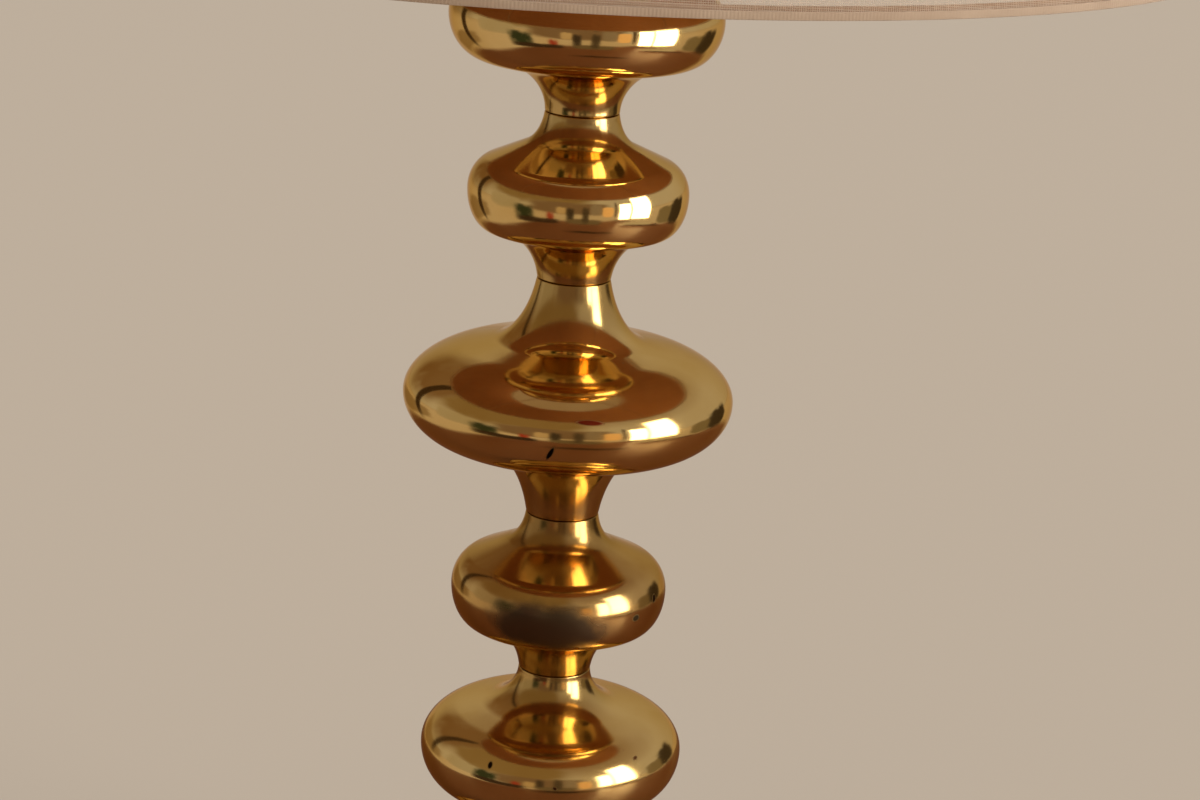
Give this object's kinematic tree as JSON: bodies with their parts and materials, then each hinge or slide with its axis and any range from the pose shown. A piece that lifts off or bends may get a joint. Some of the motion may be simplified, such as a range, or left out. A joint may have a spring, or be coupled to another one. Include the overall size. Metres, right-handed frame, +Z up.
{
  "type": "bobbin table lamp",
  "caption": "Table lamp with a stem of stacked polished brass bobbins, a weighted round foot, a screw lampholder with bulb and rotary key, and a wide tapered cloth shade.",
  "frame": {"origin": "on the table, under the middle of the stem", "axes": "+Z up along the stem, +Y to the back, where the cord inlet is, +X to the right, where the switch key is"},
  "size_m": [0.4506, 0.4506, 0.7096],
  "materials": {
    "polished_brass": "mirror polished, lacquered, slightly tarnished",
    "stamped_brass": "plain turned or stamped",
    "felt": "dark green pressed felt",
    "cast_iron": "as cast",
    "zinced_steel": "zinc plated",
    "phenolic": "moulded black phenolic",
    "porcelain": "glazed",
    "solder": "dull tin solder",
    "vitrite": "black glass",
    "aluminium": "rolled",
    "opal_glass": "opal, smooth",
    "clear_glass": "clear",
    "tungsten": "drawn wire",
    "enamelled_wire": "tan enamel",
    "shade_cloth": "plain woven cloth on a translucent lining",
    "binding": "narrow woven tape"
  },
  "bodies": {
    "stand": {"foot_felt": "felt", "foot_shell": "polished_brass", "inlet_bush": "phenolic", "ballast": "cast_iron", "foot_washer": "zinced_steel", "foot_nut": "zinced_steel", "stem_tube": "zinced_steel", "centring_ring_1": "stamped_brass", "lower_medium_bobbin": "polished_brass", "centring_ring_2": "stamped_brass", "lower_small_bobbin": "polished_brass", "centring_ring_3": "stamped_brass", "large_bobbin": "polished_brass", "centring_ring_4": "stamped_brass", "upper_small_bobbin": "polished_brass", "centring_ring_5": "stamped_brass", "upper_medium_bobbin": "polished_brass", "neck_cap": "polished_brass", "clamp_nut": "stamped_brass", "holder_cap": "phenolic", "holder_body": "phenolic", "holder_insert": "porcelain", "screw_shell": "stamped_brass", "centre_contact": "stamped_brass", "front_terminal_screw": "stamped_brass", "rear_terminal_screw": "stamped_brass", "switch_block": "phenolic", "lower_shade_ring": "phenolic"},
    "switch_key": {"switch_key": "phenolic"},
    "bulb": {"bulb_contact": "solder", "bulb_insulator": "vitrite", "bulb_cap": "aluminium", "bulb_glass": "opal_glass", "bulb_mount": "clear_glass", "filament": "tungsten"},
    "shade": {"fitter_ring": "enamelled_wire", "fitter_arm_1": "enamelled_wire", "fitter_arm_2": "enamelled_wire", "fitter_arm_3": "enamelled_wire", "lower_wire_ring": "enamelled_wire", "upper_wire_ring": "enamelled_wire", "shade_cover": "shade_cloth", "lower_binding": "binding", "upper_binding": "binding"},
    "upper_shade_ring": {"upper_shade_ring": "phenolic"}
  },
  "joints": [
    {"name": "switch_turn", "type": "hinge", "parent": "stand", "child": "switch_key", "pos_m": [0.029, 0, 0.4511], "axis": [1, 0, 0], "continuous": true},
    {"name": "bulb_lift", "type": "slide", "parent": "stand", "child": "bulb", "axis": [0, 0, 1], "range_m": [0, 0.15]},
    {"name": "shade_turn", "type": "hinge", "parent": "stand", "child": "shade", "pos_m": [0, 0, 0.4734], "axis": [0, 0, 1], "continuous": true},
    {"name": "shade_ring_turn", "type": "hinge", "parent": "stand", "child": "upper_shade_ring", "pos_m": [0, 0, 0.4765], "axis": [0, 0, 1], "continuous": true}
  ]
}
